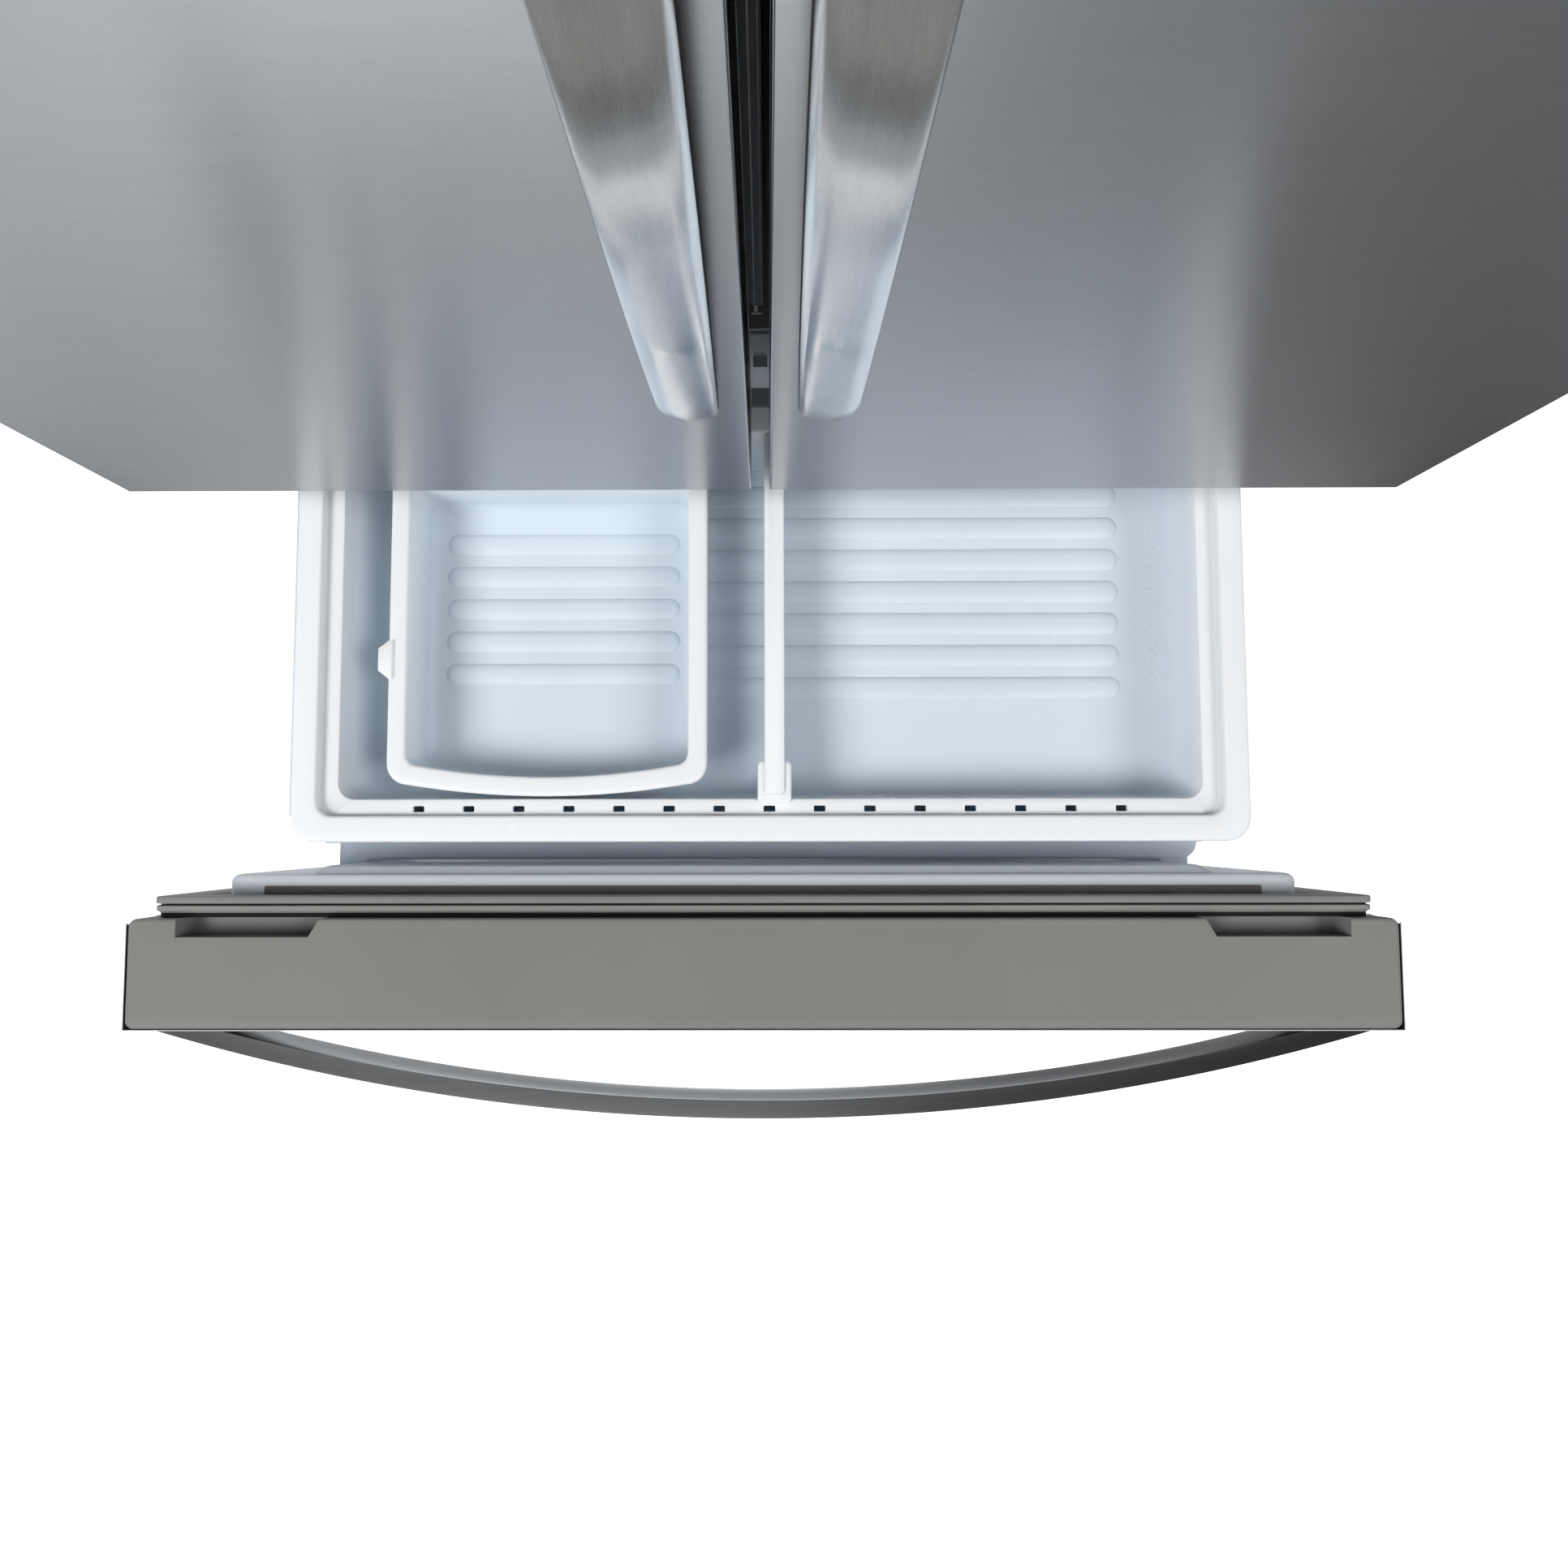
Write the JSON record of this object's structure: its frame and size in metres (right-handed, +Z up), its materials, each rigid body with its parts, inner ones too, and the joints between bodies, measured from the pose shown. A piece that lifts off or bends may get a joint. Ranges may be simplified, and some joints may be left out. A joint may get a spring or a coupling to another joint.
{
  "type": "french door refrigerator",
  "caption": "French door refrigerator, doors shut over a pulled-out bottom freezer drawer with sliding baskets, a loose bin and a divider.",
  "frame": {"origin": "on the floor, under the centre of the part's box with the drawer out", "axes": "+Z up, front and doors towards -Y, +X to the right seen from behind the fridge"},
  "size_m": [0.908, 1.2979, 1.775],
  "materials": {
    "casing": "textured satin paint",
    "back_sheet": "satin",
    "insulation": "rigid foam",
    "liner_white": "satin gloss",
    "door_liner_white": "satin gloss",
    "drawer_liner_blue_white": "satin gloss",
    "dark_plastic": "satin",
    "grille_plastic": "matte",
    "base_steel": "satin",
    "compressor_black": "gloss enamel",
    "fin_aluminium": "bright",
    "track_steel": "satin",
    "shelf_plastic": "satin",
    "shelf_glass": "clear",
    "hinge_steel": "satin",
    "screw_steel": "zinc plated",
    "rail_steel": "zinc plated",
    "gland_rubber": "matte",
    "roller_plastic": "matte",
    "leg_plastic": "matte",
    "fan_plastic": "satin",
    "button_plastic": "satin",
    "crisper_plastic": "translucent",
    "stainless_skin": "brushed across",
    "door_gasket_dark": "matte",
    "drawer_gasket_grey": "matte",
    "cap_grey": "satin",
    "handle_steel": "brushed along",
    "door_bin_plastic": "translucent",
    "mullion_plastic": "satin",
    "basket_plastic": "satin, slightly translucent",
    "lower_basket_plastic": "satin, slightly translucent",
    "bin_plastic": "satin, slightly translucent"
  },
  "bodies": {
    "cabinet": {"cabinet_panels": "casing", "insulation_foam": "insulation", "fresh_food_liner": "liner_white", "freezer_liner": "liner_white", "centre_rail": "dark_plastic", "back_cover": "back_sheet", "base_frame": "base_steel", "toe_grille": "grille_plastic", "compressor": "compressor_black", "condenser": "compressor_black", "fan_shroud": "dark_plastic", "evaporator": "fin_aluminium", "evaporator_cover": "liner_white", "air_duct": "liner_white", "control_panel": "liner_white", "shelf_tracks": "track_steel", "shelf_frames": "shelf_plastic", "shelf_glasses": "shelf_glass", "door_hinges": "hinge_steel", "hinge_covers": "dark_plastic", "hinge_screws": "screw_steel", "fixed_rails": "rail_steel", "cord_gland": "gland_rubber"},
    "front_rollers": {"front_rollers": "roller_plastic"},
    "rear_rollers": {"rear_rollers": "roller_plastic"},
    "levelling_leg_left": {"levelling_leg_left": "leg_plastic"},
    "levelling_leg_right": {"levelling_leg_right": "leg_plastic"},
    "condenser_fan": {"condenser_fan": "fan_plastic"},
    "evaporator_fan": {"evaporator_fan": "fan_plastic"},
    "button_colder": {"button_colder": "button_plastic"},
    "button_warmer": {"button_warmer": "button_plastic"},
    "crisper_left": {"crisper_left": "crisper_plastic"},
    "crisper_right": {"crisper_right": "crisper_plastic"},
    "left_door": {"left_door_skin": "stainless_skin", "left_door_foam": "insulation", "left_door_liner": "door_liner_white", "left_door_gasket": "door_gasket_dark", "left_door_caps": "cap_grey", "left_door_handle": "handle_steel", "left_door_bins": "door_bin_plastic"},
    "mullion_bar": {"mullion_bar": "mullion_plastic"},
    "right_door": {"right_door_skin": "stainless_skin", "right_door_foam": "insulation", "right_door_liner": "door_liner_white", "right_door_gasket": "door_gasket_dark", "right_door_caps": "cap_grey", "right_door_handle": "handle_steel", "right_door_bins": "door_bin_plastic"},
    "drawer": {"drawer_skin": "stainless_skin", "drawer_foam": "insulation", "drawer_caps": "cap_grey", "drawer_liner": "drawer_liner_blue_white", "drawer_gasket": "drawer_gasket_grey", "drawer_handle": "handle_steel", "drawer_frame": "rail_steel", "lower_basket": "lower_basket_plastic"},
    "middle_rails": {"middle_rails": "rail_steel"},
    "upper_basket": {"upper_basket": "basket_plastic"},
    "storage_bin": {"storage_bin": "bin_plastic"},
    "basket_divider": {"basket_divider": "basket_plastic"}
  },
  "joints": [
    {"name": "left_door", "type": "hinge", "parent": "cabinet", "child": "left_door", "pos_m": [-0.436, -0.138, 1.183], "axis": [0, 0, -1], "range_deg": [0, 120]},
    {"name": "right_door", "type": "hinge", "parent": "cabinet", "child": "right_door", "pos_m": [0.436, -0.138, 1.183], "axis": [0, 0, 1], "range_deg": [0, 120]},
    {"name": "mullion_fold", "type": "hinge", "parent": "left_door", "child": "mullion_bar", "pos_m": [-0.033, -0.088, 1.184], "axis": [0, 0, 1], "range_deg": [0, 90]},
    {"name": "freezer_drawer", "type": "slide", "parent": "cabinet", "child": "drawer", "axis": [0, -1, 0], "range_m": [-0.385, 0.06]},
    {"name": "middle_rails", "type": "slide", "parent": "cabinet", "child": "middle_rails", "axis": [0, -1, 0], "range_m": [-0.1925, 0.03]},
    {"name": "upper_basket", "type": "slide", "parent": "drawer", "child": "upper_basket", "axis": [0, 1, 0], "range_m": [0, 0.05]},
    {"name": "storage_bin", "type": "slide", "parent": "upper_basket", "child": "storage_bin", "axis": [1, 0, 0], "range_m": [0, 0.03]},
    {"name": "basket_divider", "type": "slide", "parent": "upper_basket", "child": "basket_divider", "axis": [1, 0, 0], "range_m": [0, 0.232]},
    {"name": "crisper_left", "type": "slide", "parent": "cabinet", "child": "crisper_left", "axis": [0, -1, 0], "range_m": [0, 0.08]},
    {"name": "crisper_right", "type": "slide", "parent": "cabinet", "child": "crisper_right", "axis": [0, -1, 0], "range_m": [0, 0.08]},
    {"name": "condenser_fan", "type": "hinge", "parent": "cabinet", "child": "condenser_fan", "pos_m": [0.011, 0.507, 0.138], "axis": [1, 0, 0], "continuous": true},
    {"name": "evaporator_fan", "type": "hinge", "parent": "cabinet", "child": "evaporator_fan", "pos_m": [0, 0.518, 0.511], "axis": [0, 1, 0], "continuous": true},
    {"name": "front_rollers", "type": "hinge", "parent": "cabinet", "child": "front_rollers", "pos_m": [0, -0.041, 0.022], "axis": [1, 0, 0], "continuous": true},
    {"name": "rear_rollers", "type": "hinge", "parent": "cabinet", "child": "rear_rollers", "pos_m": [0, 0.6, 0.022], "axis": [1, 0, 0], "continuous": true},
    {"name": "levelling_leg_left", "type": "hinge", "parent": "cabinet", "child": "levelling_leg_left", "pos_m": [-0.425, -0.077, 0.03], "axis": [0, 0, 1], "continuous": true},
    {"name": "levelling_leg_right", "type": "hinge", "parent": "cabinet", "child": "levelling_leg_right", "pos_m": [0.425, -0.077, 0.03], "axis": [0, 0, 1], "continuous": true},
    {"name": "button_colder", "type": "slide", "parent": "cabinet", "child": "button_colder", "axis": [0, 1, 0], "range_m": [0, 0.0025], "stiffness_N_per_m": 400},
    {"name": "button_warmer", "type": "slide", "parent": "cabinet", "child": "button_warmer", "axis": [0, 1, 0], "range_m": [0, 0.0025], "stiffness_N_per_m": 400}
  ],
  "couplings": [
    {"joint": "mullion_fold", "follows": "left_door", "ratio": 0.75},
    {"joint": "middle_rails", "follows": "freezer_drawer", "ratio": 0.5}
  ]
}
